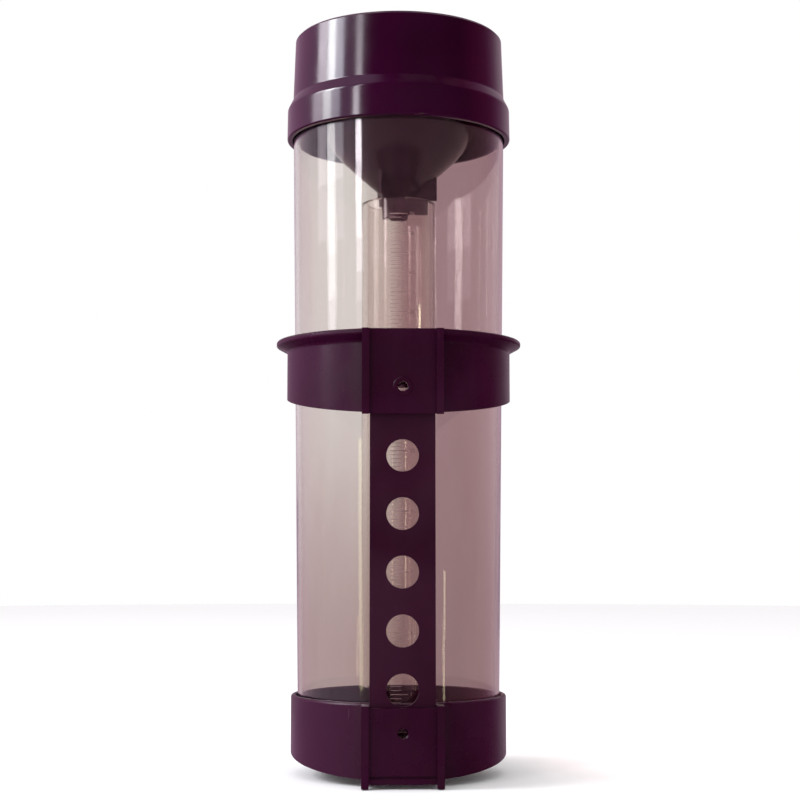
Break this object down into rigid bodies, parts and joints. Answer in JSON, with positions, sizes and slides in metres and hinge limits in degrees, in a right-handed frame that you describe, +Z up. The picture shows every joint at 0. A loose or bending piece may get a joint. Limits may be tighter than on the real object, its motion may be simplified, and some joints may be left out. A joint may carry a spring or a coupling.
{
  "type": "rain gauge",
  "caption": "Manual rain gauge: funnel cap over a clear overflow cylinder and measuring tube, held by a ring and cup bracket that screws to a post.",
  "frame": {"origin": "midway between the bracket's two screw holes, on the face of its two mounting pads", "axes": "+Z up along the gauge's axis, -Y towards the post or wall, +X to the right seen from the post"},
  "size_m": [0.1246, 0.1233, 0.3738],
  "materials": {
    "funnel_plastic": "glossy moulded dark aubergine plastic",
    "clear_cylinder": "clear moulded plastic with a faint mauve tint",
    "clear_tube": "clear moulded plastic with printed graduations",
    "bracket_plastic": "satin moulded dark aubergine plastic",
    "strap_plastic": "satin flat dark plastic"
  },
  "bodies": {
    "bracket": {"bracket_ring": "bracket_plastic", "bracket_strap": "strap_plastic", "bracket_cup": "bracket_plastic"},
    "cylinder": {"overflow_cylinder": "clear_cylinder"},
    "tube": {"measuring_tube": "clear_tube"},
    "funnel": {"catch_funnel": "funnel_plastic"}
  },
  "joints": [
    {"name": "cylinder_lift", "type": "slide", "parent": "bracket", "child": "cylinder", "axis": [0, 0, 1], "range_m": [0, 0.21]},
    {"name": "tube_lift", "type": "slide", "parent": "cylinder", "child": "tube", "axis": [0, 0, 1], "range_m": [0, 0.32]},
    {"name": "funnel_lift", "type": "slide", "parent": "tube", "child": "funnel", "axis": [0, 0, 1], "range_m": [0, 0.06]}
  ]
}
